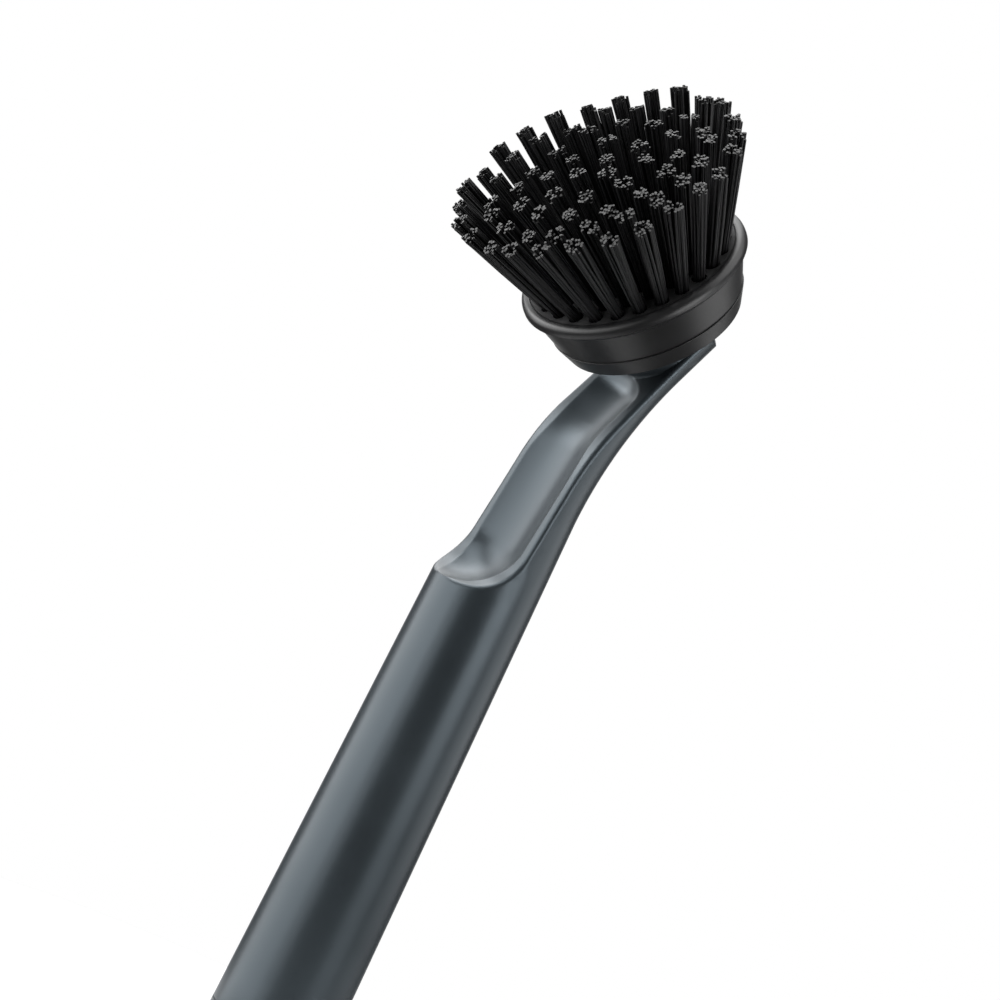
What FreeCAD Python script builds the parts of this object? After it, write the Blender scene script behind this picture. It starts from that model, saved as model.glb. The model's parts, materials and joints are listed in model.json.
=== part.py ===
import FreeCAD, Part
import math
import os
import Sketcher
from FreeCAD import Placement, Rotation, Vector

# Dish brush with a pull-off head. Millimetres and degrees.
# +Z runs up the grip from the centre of its flat end, -Y is the side of the thumb scoop and the bristles,
# and the brush is the same on both sides of X = 0.
# The head has a frame of its own: it starts at the middle of the seat, and its axis leans towards -Y.

SIZES = {
    # grip and neck
    "lip_height": 140.0,
    "cap_length": 22.0,
    "grip_end_diameter": 32.4,
    "neck_diameter": 25.9,
    "grip_wall": 3.2,
    "bore_end_below_lip": 22.0,
    "bend_rise": 24.0,
    "bend_radius": 111.0,
    "bend_angle": 24.7,
    "neck_overrun": 12.0,
    # scoop: its wall tops are a crater arc, a leaning line, a bend and a line beside the neck's axis
    "crater_rise": 12.5,
    "crater_radius": 14.1,
    "wall_top_lead": 1.78,
    "wall_top_lean": 6.7,
    "wall_top_bend_radius": 57.0,
    "wall_top_offset": 4.25,
    "rim_round": 1.0,
    # channel along the scoop: a dish behind the lip, a floor, a bend and a rounded end
    "dish_radius": 15.0,
    "dish_rise": 0.15,
    "dish_slope": 55.0,
    "channel_depth": 3.1,
    "channel_lean": 7.0,
    "channel_bend_radius": 26.0,
    "channel_end_depth": 2.3,
    "channel_end_gap": 17.5,
    "channel_end_radius": 7.0,
    "channel_end_angle": 75.0,
    "channel_wall": 2.7,
    "channel_height": 6.6,
    # seat and spigot for the head
    "head_lean": 51.7,
    "seat_run": 5.2,
    "seat_lift": 1.3,
    "boss_diameter": 22.4,
    "boss_draft": 0.6,
    "boss_depth": 9.0,
    "tongue_reach": 12.2,
    "tongue_round_radius": 17.0,
    "toe_radius": 5.0,
    "tongue_cut_length": 52.0,
    "spigot_diameter": 16.0,
    "spigot_height": 9.5,
    "spigot_chamfer": 0.8,
    "groove_depth": 0.4,
    "groove_width": 1.2,
    "groove_height": 4.6,
    "socket_clearance": 0.3,
    # end cap
    "plug_length": 14.0,
    "plug_clearance": 0.1,
    "cap_edge": 1.6,
    "hang_hole_diameter": 8.0,
    "hang_hole_height": 11.0,
    # head base
    "base_bottom_diameter": 39.6,
    "base_edge_diameter": 44.4,
    "base_edge_height": 0.95,
    "parting_diameter": 48.6,
    "base_height": 5.7,
    "base_floor": 2.2,
    "socket_wall": 2.6,
    "socket_roof": 1.6,
    "rabbet_height": 2.4,
    "rabbet_wall": 1.8,
    "rabbet_clearance": 0.1,
    # head bowl
    "bowl_height": 12.5,
    "bowl_setback": 0.3,
    "shoulder_diameter": 53.7,
    "rim_diameter": 56.6,
    "rim_height": 3.8,
    "rim_width": 2.3,
    "rim_flare": 1.2,
    "rim_edge": 1.9,
    "bowl_wall": 2.0,
    "ledge_width": 2.4,
    "pad_height": 11.0,
    "pad_width": 6.4,
    "pad_end_radius": 4.0,
    "pad_proud": 1.8,
    "pad_below_rim": 8.0,
    # tuft plate and tufts
    "plate_drop": 0.15,
    "plate_thickness": 5.6,
    "plate_clearance": 0.12,
    "hole_depth": 4.0,
    "hole_clearance": 0.08,
    "tuft_root_diameter": 3.0,
    "tuft_tip_diameter": 6.0,
    "tip_height": 27.8,
    "splay_ratio": 1.52,
    "anchor_height": 0.9,
    "anchor_thickness": 0.7,
    "anchor_length": 2.5,
    # rings of tufts, from the outside in
    "ring_1_radius": 23.0,
    "ring_1_count": 26.0,
    "ring_2_radius": 18.2,
    "ring_2_count": 20.0,
    "ring_3_radius": 13.3,
    "ring_3_count": 14.0,
    "ring_4_radius": 8.3,
    "ring_4_count": 8.0,
    "ring_5_radius": 3.2,
    "ring_5_count": 3.0,
    # cuts run past the solid by this much
    "overrun": 6.0,
}
RINGS = (1, 2, 3, 4, 5)
FULL_TURN = 360.0
HALF_TURN = 180.0

doc = FreeCAD.newDocument("dish_brush")
sheet = doc.addObject("Spreadsheet::Sheet", "sizes")
for row, (alias, number) in enumerate(SIZES.items(), start=1):
    sheet.set(f"A{row}", alias)
    sheet.set(f"B{row}", str(number))
    sheet.setAlias(f"B{row}", alias)
doc.recompute()


def expand(text):
    """Turn bare size names into references to the sheet."""
    words = []
    word = ""
    for letter in text + " ":
        if letter.isalnum() or letter == "_":
            word += letter
            continue
        words.append(f"sizes.{word}" if word in SIZES else word)
        words.append(letter)
        word = ""
    return "".join(words).strip()


def value(text):
    """The number that an expression of size names has now."""
    result = sheet.evalExpression(expand(text))
    return float(getattr(result, "Value", result))


def plane_of(body, role):
    """One of the body's own origin planes or axes."""
    return next(item for item in body.Origin.OriginFeatures if item.Role == role)


def new_body(label):
    body = doc.addObject("PartDesign::Body", label)
    body.Label = label
    body.AllowCompound = True
    return body


def new_sketch(body, name, role, shift=None, turn=None, turn_axis=(1, 0, 0)):
    """A sketch on an origin plane, moved by expressions along its own axes and turned about one of them."""
    sketch = body.newObject("Sketcher::SketchObject", name)
    sketch.AttachmentSupport = [(plane_of(body, role), "")]
    sketch.MapMode = "FlatFace"
    if turn is not None:
        sketch.AttachmentOffset = Placement(Vector(0, 0, 0), Rotation(Vector(*turn_axis), value(turn)))
        sketch.setExpression("AttachmentOffset.Rotation.Angle", expand(turn))
    if shift is not None:
        for axis, text in zip("xyz", shift):
            if text is not None:
                sketch.setExpression(f"AttachmentOffset.Base.{axis}", expand(text))
    return sketch


def pin(sketch, name, index, end, across, along):
    """Hold one point of the sketch at a place given by two expressions."""
    for kind, text, tail in (("DistanceX", across, "x"), ("DistanceY", along, "y")):
        number = sketch.addConstraint(Sketcher.Constraint(kind, -1, 1, index, end, value(text)))
        sketch.renameConstraint(number, f"{name}_{tail}")
        sketch.setExpression(f"Constraints.{name}_{tail}", expand(text))


def arc_between(start, stop, radius, side):
    """The shorter arc from start to stop; side is 1 where its centre lies on the left of the way there."""
    middle = (start + stop) * 0.5
    half = (stop - start) * 0.5
    left = Vector(-half.y, half.x, 0).normalize()
    rise = math.sqrt(radius ** 2 - half.Length ** 2)
    centre = middle + left * rise * side
    top = centre - left * radius * side
    return Part.Arc(start, top, stop) if side > 0 else Part.Arc(stop, top, start)


def outline(sketch, points, closed=True):
    """Lines and arcs through points (across, along); an arc radius and side shape the span after a point."""
    places = [Vector(value(point[0]), value(point[1]), 0) for point in points]
    spans = len(points) if closed else len(points) - 1
    for index in range(spans):
        start = places[index]
        stop = places[(index + 1) % len(points)]
        if len(points[index]) == 2:
            sketch.addGeometry(Part.LineSegment(start, stop), False)
        else:
            radius, side = points[index][2:]
            sketch.addGeometry(arc_between(start, stop, value(radius), side), False)
    # A sketch counts arcs counter-clockwise, so an arc with its centre on the right starts at its far end.
    heads = [2 if len(point) > 2 and point[3] < 0 else 1 for point in points]
    tails = [1 if head == 2 else 2 for head in heads]
    for index in range(spans):
        if closed or index + 1 < spans:
            after = (index + 1) % spans
            meeting = Sketcher.Constraint("Coincident", index, tails[index], after, heads[after])
            sketch.addConstraint(meeting)
    for index in range(spans):
        pin(sketch, f"p{index}", index, heads[index], points[index][0], points[index][1])
        if len(points[index]) > 2:
            number = sketch.addConstraint(Sketcher.Constraint("Radius", index, value(points[index][2])))
            sketch.renameConstraint(number, f"r{index}")
            sketch.setExpression(f"Constraints.r{index}", expand(points[index][2]))
    if not closed:
        pin(sketch, f"p{spans}", spans - 1, tails[spans - 1], points[-1][0], points[-1][1])


def circle(sketch, across, along, radius):
    """A circle whose centre and radius follow expressions."""
    index = sketch.addGeometry(
        Part.Circle(Vector(value(across), value(along), 0), Vector(0, 0, 1), value(radius)), False
    )
    pin(sketch, f"c{index}", index, 3, across, along)
    number = sketch.addConstraint(Sketcher.Constraint("Radius", index, value(radius)))
    sketch.renameConstraint(number, f"r{index}")
    sketch.setExpression(f"Constraints.r{index}", expand(radius))


def turned(body, name, sketch, cut=False, axis="V_Axis"):
    """Turn a half outline all the way round an axis of its sketch."""
    feature = body.newObject("PartDesign::Groove" if cut else "PartDesign::Revolution", name)
    feature.Profile = sketch
    feature.ReferenceAxis = (sketch, [axis])
    feature.Angle = FULL_TURN
    return feature


def through(body, name, sketch):
    """Cut an outline both ways through the whole solid."""
    pocket = body.newObject("PartDesign::Pocket", name)
    pocket.Profile = sketch
    pocket.SideType = "Symmetric"
    pocket.Type = "ThroughAll"
    return pocket


def turning_line(sketch, foot, top):
    """A construction line between two places of a sketch, for turning about."""
    places = [Vector(value(spot[0]), value(spot[1]), 0) for spot in (foot, top)]
    index = sketch.addGeometry(Part.LineSegment(*places), True)
    pin(sketch, "axis_foot", index, 1, *foot)
    pin(sketch, "axis_top", index, 2, *top)


def pattern(body, name, feature, sketch, count):
    """Repeat a feature evenly round the sketch's upright axis."""
    ring = body.newObject("PartDesign::PolarPattern", name)
    ring.Originals = [feature]
    ring.Axis = (sketch, ["V_Axis"])
    ring.Angle = FULL_TURN
    ring.setExpression("Occurrences", expand(count))
    body.Tip = ring
    return ring


def in_head_frame(body):
    """Stand a head piece on the seat, its Z along the head's axis."""
    body.Placement = Placement(Vector(0, 0, 0), Rotation(Vector(1, 0, 0), value("head_lean")))
    body.setExpression("Placement.Base.y", expand(SEAT_Y))
    body.setExpression("Placement.Base.z", expand(SEAT_Z))
    body.setExpression("Placement.Rotation.Angle", expand("head_lean"))


# Places that several pieces share, as expressions of the sizes above.
BEND_Z = "lip_height + bend_rise"
BEND_END_Y = "bend_radius * (1 - cos(bend_angle))"
BEND_END_Z = f"{BEND_Z} + bend_radius * sin(bend_angle)"
NECK_RADIUS = "neck_diameter / 2"
END_RADIUS = "grip_end_diameter / 2"
TAPER = f"({END_RADIUS} - {NECK_RADIUS}) / ({BEND_Z})"
CAP_RADIUS = f"{END_RADIUS} - cap_length * {TAPER}"
LIP_RADIUS = f"{END_RADIUS} - lip_height * {TAPER}"
BORE_RADIUS = f"{LIP_RADIUS} - grip_wall"
NECK_RUN = "(seat_run + tongue_reach + neck_overrun)"
SEAT_Y = f"{BEND_END_Y} + seat_run * sin(bend_angle) - seat_lift * cos(bend_angle)"
SEAT_Z = f"{BEND_END_Z} + seat_run * cos(bend_angle) + seat_lift * sin(bend_angle)"


# Handle: a tapered grip and a round neck that bends back under the head.
handle = new_body("handle")
grip_outline = new_sketch(handle, "grip_outline", "YZ_Plane")
outline(grip_outline, [
    ("0", "cap_length"),
    (CAP_RADIUS, "cap_length"),
    (NECK_RADIUS, BEND_Z),
    ("0", BEND_Z),
])
grip = turned(handle, "grip", grip_outline)

neck_path = new_sketch(handle, "neck_path", "YZ_Plane")
outline(neck_path, [
    ("0", BEND_Z, "bend_radius", -1),
    (BEND_END_Y, BEND_END_Z),
    (f"{BEND_END_Y} + {NECK_RUN} * sin(bend_angle)", f"{BEND_END_Z} + {NECK_RUN} * cos(bend_angle)"),
], closed=False)
neck_round = new_sketch(handle, "neck_round", "XY_Plane", shift=(None, None, BEND_Z))
circle(neck_round, "0", "0", NECK_RADIUS)
neck = handle.newObject("PartDesign::AdditivePipe", "neck")
neck.Profile = neck_round
neck.Spine = (neck_path, [])
doc.recompute()

# Scoop: everything in front of the wall tops and above the seat is cut away.
CRATER_Y = "0 - wall_top_lead - crater_radius * cos(wall_top_lean)"
CRATER_Z = "lip_height + crater_rise + crater_radius * sin(wall_top_lean)"
SCOOP_START_Y = f"0 - ({LIP_RADIUS}) - overrun"
SCOOP_START_Z = f"{CRATER_Z} - sqrt(crater_radius ^ 2 - ({SCOOP_START_Y} - ({CRATER_Y})) ^ 2)"
LEAD_Z = "(lip_height + crater_rise)"
# The last line lies beside the neck's axis, and the bend joins it to the leaning line.
BESIDE_Y = f"({BEND_END_Y} + wall_top_offset * cos(bend_angle))"
BESIDE_Z = f"({BEND_END_Z} - wall_top_offset * sin(bend_angle))"
TURN = "(bend_angle - wall_top_lean)"
TANGENT = f"wall_top_bend_radius * tan({TURN} / 2)"
ASIDE = f"({BESIDE_Y} + wall_top_lead) * cos(bend_angle)"
CORNER_RUN = f"(({BESIDE_Z} - {LEAD_Z}) * sin(bend_angle) - {ASIDE}) / sin{TURN}"
CORNER_Y = f"(({CORNER_RUN}) * sin(wall_top_lean) - wall_top_lead)"
CORNER_Z = f"({LEAD_Z} + ({CORNER_RUN}) * cos(wall_top_lean))"
LAST_RUN = f"({NECK_RUN} + neck_diameter)"
LAST_Z = f"{BESIDE_Z} + {LAST_RUN} * cos(bend_angle)"
FRONT_Y = f"{SCOOP_START_Y} - neck_diameter"
BEND_TOP_Y = f"{CORNER_Y} - {TANGENT} * sin(wall_top_lean)"
BEND_TOP_Z = f"{CORNER_Z} - {TANGENT} * cos(wall_top_lean)"
WALL_TOPS = [
    (SCOOP_START_Y, SCOOP_START_Z, "crater_radius", 1),
    ("0 - wall_top_lead", LEAD_Z),
    (BEND_TOP_Y, BEND_TOP_Z, "wall_top_bend_radius", -1),
    (f"{CORNER_Y} + {TANGENT} * sin(bend_angle)", f"{CORNER_Z} + {TANGENT} * cos(bend_angle)"),
    (f"{BESIDE_Y} + {LAST_RUN} * sin(bend_angle)", LAST_Z),
]
scoop_outline = new_sketch(handle, "scoop_outline", "YZ_Plane")
outline(scoop_outline, WALL_TOPS + [(FRONT_Y, LAST_Z), (FRONT_Y, "lip_height")])
scoop = through(handle, "scoop", scoop_outline)
doc.recompute()

# Channel: a round-bottomed trough that starts in a dish behind the lip and ends in front of the seat.
FLOOR_Y = "(channel_depth - wall_top_lead)"
DISH_Z = "(lip_height + dish_rise + dish_radius)"
DISH_END_Z = f"({DISH_Z} - dish_radius * sin(channel_lean))"
DISH_END_Y = f"({FLOOR_Y} + ({DISH_END_Z} - {LEAD_Z}) * tan(channel_lean))"
DISH_Y = f"({DISH_END_Y} - dish_radius * cos(channel_lean))"
DISH_START_Y = f"{DISH_Y} - dish_radius * sin(dish_slope)"
DISH_START_Z = f"{DISH_Z} - dish_radius * cos(dish_slope)"
# The floor bends to lie beside the neck's axis, below the wall tops, and then curves up to the front.
BED_Y = f"({BESIDE_Y} + channel_end_depth * cos(bend_angle))"
BED_Z = f"({BESIDE_Z} - channel_end_depth * sin(bend_angle))"
BED_TURN = "(bend_angle - channel_lean)"
BED_TANGENT = f"channel_bend_radius * tan({BED_TURN} / 2)"
BED_ASIDE = f"({BED_Y} - {FLOOR_Y}) * cos(bend_angle)"
BED_RUN = f"(({BED_Z} - {LEAD_Z}) * sin(bend_angle) - {BED_ASIDE}) / sin{BED_TURN}"
BED_CORNER_Y = f"({FLOOR_Y} + ({BED_RUN}) * sin(channel_lean))"
BED_CORNER_Z = f"({LEAD_Z} + ({BED_RUN}) * cos(channel_lean))"
BED_END_Y = f"({BED_Y} + (seat_run - channel_end_gap) * sin(bend_angle))"
BED_END_Z = f"({BED_Z} + (seat_run - channel_end_gap) * cos(bend_angle))"
RISE_TURN = "(channel_end_angle - bend_angle)"
RISE_Y = f"{BED_END_Y} + channel_end_radius * (cos{RISE_TURN} - cos(bend_angle))"
RISE_Z = f"{BED_END_Z} + channel_end_radius * (sin{RISE_TURN} + sin(bend_angle))"
BED_BEND_Y = f"{BED_CORNER_Y} - {BED_TANGENT} * sin(channel_lean)"
BED_BEND_Z = f"{BED_CORNER_Z} - {BED_TANGENT} * cos(channel_lean)"
BED_BENT_Y = f"{BED_CORNER_Y} + {BED_TANGENT} * sin(bend_angle)"
BED_BENT_Z = f"{BED_CORNER_Z} + {BED_TANGENT} * cos(bend_angle)"
channel_path = new_sketch(handle, "channel_path", "YZ_Plane")
outline(channel_path, [
    (DISH_START_Y, DISH_START_Z, "dish_radius", 1),
    (DISH_END_Y, DISH_END_Z),
    (BED_BEND_Y, BED_BEND_Z, "channel_bend_radius", -1),
    (BED_BENT_Y, BED_BENT_Z),
    (BED_END_Y, BED_END_Z, "channel_end_radius", 1),
    (RISE_Y, RISE_Z),
], closed=False)
CHANNEL_SHIFT = (None, DISH_START_Z, f"0 - ({DISH_START_Y})")
channel_section = new_sketch(
    handle, "channel_section", "XZ_Plane", shift=CHANNEL_SHIFT, turn="dish_slope", turn_axis=(-1, 0, 0)
)
# The round of the trough leaves the walls their thickness at the top, and goes on above them.
CHANNEL_HALF = f"({NECK_RADIUS} - channel_wall)"
TROUGH_RADIUS = f"({CHANNEL_HALF} ^ 2 + channel_depth ^ 2) / (2 * channel_depth)"
TROUGH_SIDE = f"({NECK_RADIUS} - channel_wall / 2)"
TROUGH_EDGE = f"{TROUGH_RADIUS} - sqrt(({TROUGH_RADIUS}) ^ 2 - {TROUGH_SIDE} ^ 2)"
outline(channel_section, [
    (f"0 - {TROUGH_SIDE}", TROUGH_EDGE, TROUGH_RADIUS, 1),
    (TROUGH_SIDE, TROUGH_EDGE),
    (TROUGH_SIDE, "channel_height"),
    (f"0 - {TROUGH_SIDE}", "channel_height"),
])
channel = handle.newObject("PartDesign::SubtractivePipe", "channel")
channel.Profile = channel_section
channel.Spine = (channel_path, [])
doc.recompute()

# Rim of the scoop: its outer edge is rounded off, from the lip to the end of the neck.
EDGE_PROBE_SHARES = (0.1, 0.5, 0.9)
EDGE_TOLERANCE = 1e-3
outer_faces = [face for face in neck.Shape.Faces if type(face.Surface).__name__ != "Plane"]


def lies_on(spot, shapes):
    """True where a place is on one of the shapes."""
    return any(shape.distToShape(Part.Vertex(spot))[0] < EDGE_TOLERANCE for shape in shapes)


def drawn(sketch):
    """The lines and arcs of a sketch, where they stand in the body."""
    return [item.toShape().transformed(sketch.Placement.Matrix) for item in sketch.Geometry]


wall_tops = drawn(scoop_outline)[:len(WALL_TOPS) - 1]


def is_scoop_rim(edge):
    """True for an edge that lies on the round outside and straight beside the outline of the wall tops."""
    first, last = edge.ParameterRange
    spots = [edge.valueAt(first + (last - first) * share) for share in EDGE_PROBE_SHARES]
    beside = [Vector(0, spot.y, spot.z) for spot in spots]
    on_outside = all(lies_on(spot, outer_faces) for spot in spots)
    return on_outside and all(lies_on(spot, wall_tops) for spot in beside)


names = [f"Edge{index}" for index, edge in enumerate(channel.Shape.Edges, start=1) if is_scoop_rim(edge)]
scoop_rim = handle.newObject("PartDesign::Fillet", "scoop_rim")
scoop_rim.Base = (channel, names)
scoop_rim.setExpression("Radius", expand("rim_round"))
doc.recompute()

# Boss and spigot: a round boss carries the seat, and a post with a shallow snap groove stands on it.
SPIGOT_RADIUS = "spigot_diameter / 2"
SEAT_SHIFT = (SEAT_Y, SEAT_Z, None)
spigot_outline = new_sketch(
    handle, "spigot_outline", "YZ_Plane", shift=SEAT_SHIFT, turn="head_lean", turn_axis=(0, 0, 1)
)
outline(spigot_outline, [
    ("0", "0 - boss_depth"),
    ("boss_diameter / 2 - boss_draft", "0 - boss_depth"),
    ("boss_diameter / 2", "0"),
    (SPIGOT_RADIUS, "0"),
    (SPIGOT_RADIUS, "groove_height"),
    (f"{SPIGOT_RADIUS} - groove_depth", "groove_height + groove_depth"),
    (f"{SPIGOT_RADIUS} - groove_depth", "groove_height + groove_width - groove_depth"),
    (SPIGOT_RADIUS, "groove_height + groove_width"),
    (SPIGOT_RADIUS, "spigot_height - spigot_chamfer"),
    (f"{SPIGOT_RADIUS} - spigot_chamfer", "spigot_height"),
    ("0", "spigot_height"),
])
spigot = turned(handle, "spigot", spigot_outline)
doc.recompute()

# Tongue: the neck ends in a round under the head, and its underside curves up to that end.
tongue_outline = new_sketch(
    handle, "tongue_outline", "YZ_Plane", shift=SEAT_SHIFT, turn="head_lean", turn_axis=(0, 0, 1)
)
TONGUE_AXIS = "tongue_reach - tongue_round_radius"
NECK_SLANT = "(head_lean + bend_angle)"
TOE_LIFT = f"(tongue_reach - toe_radius) * cos{NECK_SLANT} + toe_radius"
TOE_LEVEL = f"({TOE_LIFT} - seat_lift - {NECK_RADIUS}) / sin{NECK_SLANT}"
TOE_Y = f"tongue_reach - toe_radius * (1 - cos{NECK_SLANT})"
TOE_Z = f"{TOE_LEVEL} - toe_radius * sin{NECK_SLANT}"
outline(tongue_outline, [
    (TOE_Y, TOE_Z, "toe_radius", 1),
    ("tongue_reach", TOE_LEVEL),
    ("tongue_reach", "overrun"),
    ("tongue_reach + tongue_cut_length", "overrun"),
    ("tongue_reach + tongue_cut_length", f"{TOE_Z} - neck_diameter"),
    (TOE_Y, f"{TOE_Z} - neck_diameter"),
])
turning_line(tongue_outline, (TONGUE_AXIS, "0"), (TONGUE_AXIS, "overrun"))
tongue = turned(handle, "tongue", tongue_outline, cut=True, axis="Axis0")
tongue.Midplane = True
tongue.Angle = HALF_TURN
doc.recompute()

# Bore: the grip is hollow from its end.
bore_outline = new_sketch(handle, "bore_outline", "YZ_Plane")
outline(bore_outline, [
    ("0", "cap_length - overrun"),
    (BORE_RADIUS, "cap_length - overrun"),
    (BORE_RADIUS, "lip_height - bore_end_below_lip"),
    ("0", "lip_height - bore_end_below_lip"),
])
bore = turned(handle, "bore", bore_outline, cut=True)
doc.recompute()

# End cap: the flat end of the grip with the hanging hole, and a plug that closes the bore.
PLUG_RADIUS = f"{BORE_RADIUS} - plug_clearance"
end_cap = new_body("end_cap")
cap_outline = new_sketch(end_cap, "cap_outline", "YZ_Plane")
outline(cap_outline, [
    ("0", "0"),
    (f"{END_RADIUS} - cap_edge", "0", "cap_edge", 1),
    (f"{END_RADIUS} - cap_edge * {TAPER}", "cap_edge"),
    (CAP_RADIUS, "cap_length"),
    (PLUG_RADIUS, "cap_length"),
    (PLUG_RADIUS, "cap_length + plug_length"),
    ("0", "cap_length + plug_length"),
])
turned(end_cap, "cap", cap_outline)
hang_outline = new_sketch(end_cap, "hang_outline", "YZ_Plane")
circle(hang_outline, "0", "hang_hole_height", "hang_hole_diameter / 2")
through(end_cap, "hang_hole", hang_outline)

# Head base: the lower ring of the head, with the socket that goes over the spigot.
SOCKET_RADIUS = f"{SPIGOT_RADIUS} + socket_clearance"
SOCKET_DEPTH = "spigot_height + socket_clearance"
RABBET_RADIUS = "parting_diameter / 2 - bowl_setback - bowl_wall - rabbet_clearance"
head_base = new_body("head_base")
base_outline = new_sketch(head_base, "base_outline", "YZ_Plane")
outline(base_outline, [
    (SOCKET_RADIUS, "0"),
    ("base_bottom_diameter / 2", "0"),
    ("base_edge_diameter / 2", "base_edge_height"),
    ("parting_diameter / 2", "base_height"),
    (RABBET_RADIUS, "base_height"),
    (RABBET_RADIUS, "base_height + rabbet_height"),
    (f"{RABBET_RADIUS} - rabbet_wall", "base_height + rabbet_height"),
    (f"{RABBET_RADIUS} - rabbet_wall", "base_floor"),
    (f"{SOCKET_RADIUS} + socket_wall", "base_floor"),
    (f"{SOCKET_RADIUS} + socket_wall", f"{SOCKET_DEPTH} + socket_roof"),
    ("0", f"{SOCKET_DEPTH} + socket_roof"),
    ("0", SOCKET_DEPTH),
    (SOCKET_RADIUS, SOCKET_DEPTH),
])
turned(head_base, "base", base_outline)
in_head_frame(head_base)

# Head bowl: the outer wall of the head, its rounded rim and the ledge for the tuft plate.
RIM_TOP = "base_height + bowl_height"
RIM_RADIUS = "rim_diameter / 2"
PLATE_TOP = f"{RIM_TOP} - plate_drop"
PLATE_BOTTOM = f"{PLATE_TOP} - plate_thickness"
MOUTH_RADIUS = f"{RIM_RADIUS} - rim_width"
FOOT_RADIUS = "parting_diameter / 2 - bowl_setback"
SHOULDER_Z = f"{RIM_TOP} - rim_height"
WALL_LEAN = f"atan((shoulder_diameter / 2 - ({FOOT_RADIUS})) / (bowl_height - rim_height))"
LEDGE_RADIUS = f"{FOOT_RADIUS} + ({PLATE_BOTTOM} - base_height) * tan({WALL_LEAN}) - bowl_wall"
head_bowl = new_body("head_bowl")
bowl_outline = new_sketch(head_bowl, "bowl_outline", "YZ_Plane")
outline(bowl_outline, [
    (f"{FOOT_RADIUS} - bowl_wall", "base_height"),
    (FOOT_RADIUS, "base_height"),
    ("shoulder_diameter / 2", SHOULDER_Z),
    (RIM_RADIUS, f"{SHOULDER_Z} + rim_flare"),
    (RIM_RADIUS, f"{RIM_TOP} - rim_edge", "rim_edge", 1),
    (f"{RIM_RADIUS} - rim_edge", RIM_TOP),
    (MOUTH_RADIUS, RIM_TOP),
    (MOUTH_RADIUS, PLATE_TOP),
    (LEDGE_RADIUS, PLATE_BOTTOM),
    (f"{LEDGE_RADIUS} - ledge_width", PLATE_BOTTOM),
])
turned(head_bowl, "bowl", bowl_outline)
# Scraper pad: an upright oval that lies on the wall at the tip of the head.
PAD_Z = f"{RIM_TOP} - pad_below_rim"
PAD_Y = f"{FOOT_RADIUS} + ({PAD_Z} - base_height) * tan({WALL_LEAN})"
PAD_SHIFT = (None, PAD_Z, f"0 - ({PAD_Y})")
pad_outline = new_sketch(
    head_bowl, "pad_outline", "XZ_Plane", shift=PAD_SHIFT, turn=WALL_LEAN, turn_axis=(-1, 0, 0)
)
PAD_SIDE = "pad_width / 2"
PAD_STRAIGHT = f"(pad_height / 2 - pad_end_radius + sqrt(pad_end_radius ^ 2 - ({PAD_SIDE}) ^ 2))"
outline(pad_outline, [
    (PAD_SIDE, f"0 - {PAD_STRAIGHT}"),
    (PAD_SIDE, PAD_STRAIGHT, "pad_end_radius", 1),
    (f"0 - {PAD_SIDE}", PAD_STRAIGHT),
    (f"0 - {PAD_SIDE}", f"0 - {PAD_STRAIGHT}", "pad_end_radius", 1),
])
scraper_pad = head_bowl.newObject("PartDesign::Pad", "scraper_pad")
scraper_pad.Profile = pad_outline
scraper_pad.SideType = "Symmetric"
scraper_pad.setExpression("Length", expand("pad_proud * 2"))
in_head_frame(head_bowl)

# Tuft plate: a disc with a slanted blind hole for each tuft; tufts and staples share the holes' axes.


def ring_axis(ring):
    """Foot and direction of the first tuft of a ring, in the plane of the sketch."""
    radius = f"ring_{ring}_radius"
    lean = f"atan({radius} * (splay_ratio - 1) / tip_height)"
    return radius, lean


def slanted(ring, across, along):
    """A point given across and along the axis of a ring's first tuft, from where it leaves the plate."""
    radius, lean = ring_axis(ring)
    return (
        f"{radius} + ({across}) * cos({lean}) + ({along}) * sin({lean})",
        f"{PLATE_TOP} - ({across}) * sin({lean}) + ({along}) * cos({lean})",
    )


def tuft_length(ring):
    """Length of a ring's tufts above the plate, which brings all the tips to one level."""
    return f"(tip_height + plate_drop) / cos({ring_axis(ring)[1]})"


def slanted_axis(sketch, ring):
    """The axis of a ring's first tuft."""
    turning_line(sketch, slanted(ring, "0", "0"), slanted(ring, "0", "tip_height"))


tuft_plate = new_body("tuft_plate")
plate_outline = new_sketch(tuft_plate, "plate_outline", "XZ_Plane")
outline(plate_outline, [
    ("0", PLATE_BOTTOM),
    (f"{LEDGE_RADIUS} - plate_clearance", PLATE_BOTTOM),
    (f"{MOUTH_RADIUS} - plate_clearance", PLATE_TOP),
    ("0", PLATE_TOP),
])
turned(tuft_plate, "plate", plate_outline)
HOLE_RADIUS = "tuft_root_diameter / 2 + hole_clearance"
HOLE_FLARE = "(tuft_tip_diameter - tuft_root_diameter) / 2 / (tip_height + hole_depth)"
for ring in RINGS:
    hole_outline = new_sketch(tuft_plate, f"hole_{ring}_outline", "XZ_Plane")
    outline(hole_outline, [
        slanted(ring, "0", "0 - hole_depth - anchor_height"),
        slanted(ring, HOLE_RADIUS, "0 - hole_depth - anchor_height"),
        slanted(ring, f"{HOLE_RADIUS} + {HOLE_FLARE} * (hole_depth + overrun)", "overrun"),
        slanted(ring, "0", "overrun"),
    ])
    slanted_axis(hole_outline, ring)
    hole = turned(tuft_plate, f"hole_{ring}", hole_outline, cut=True, axis="Axis0")
    pattern(tuft_plate, f"holes_{ring}", hole, hole_outline, f"ring_{ring}_count")
in_head_frame(tuft_plate)

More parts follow.
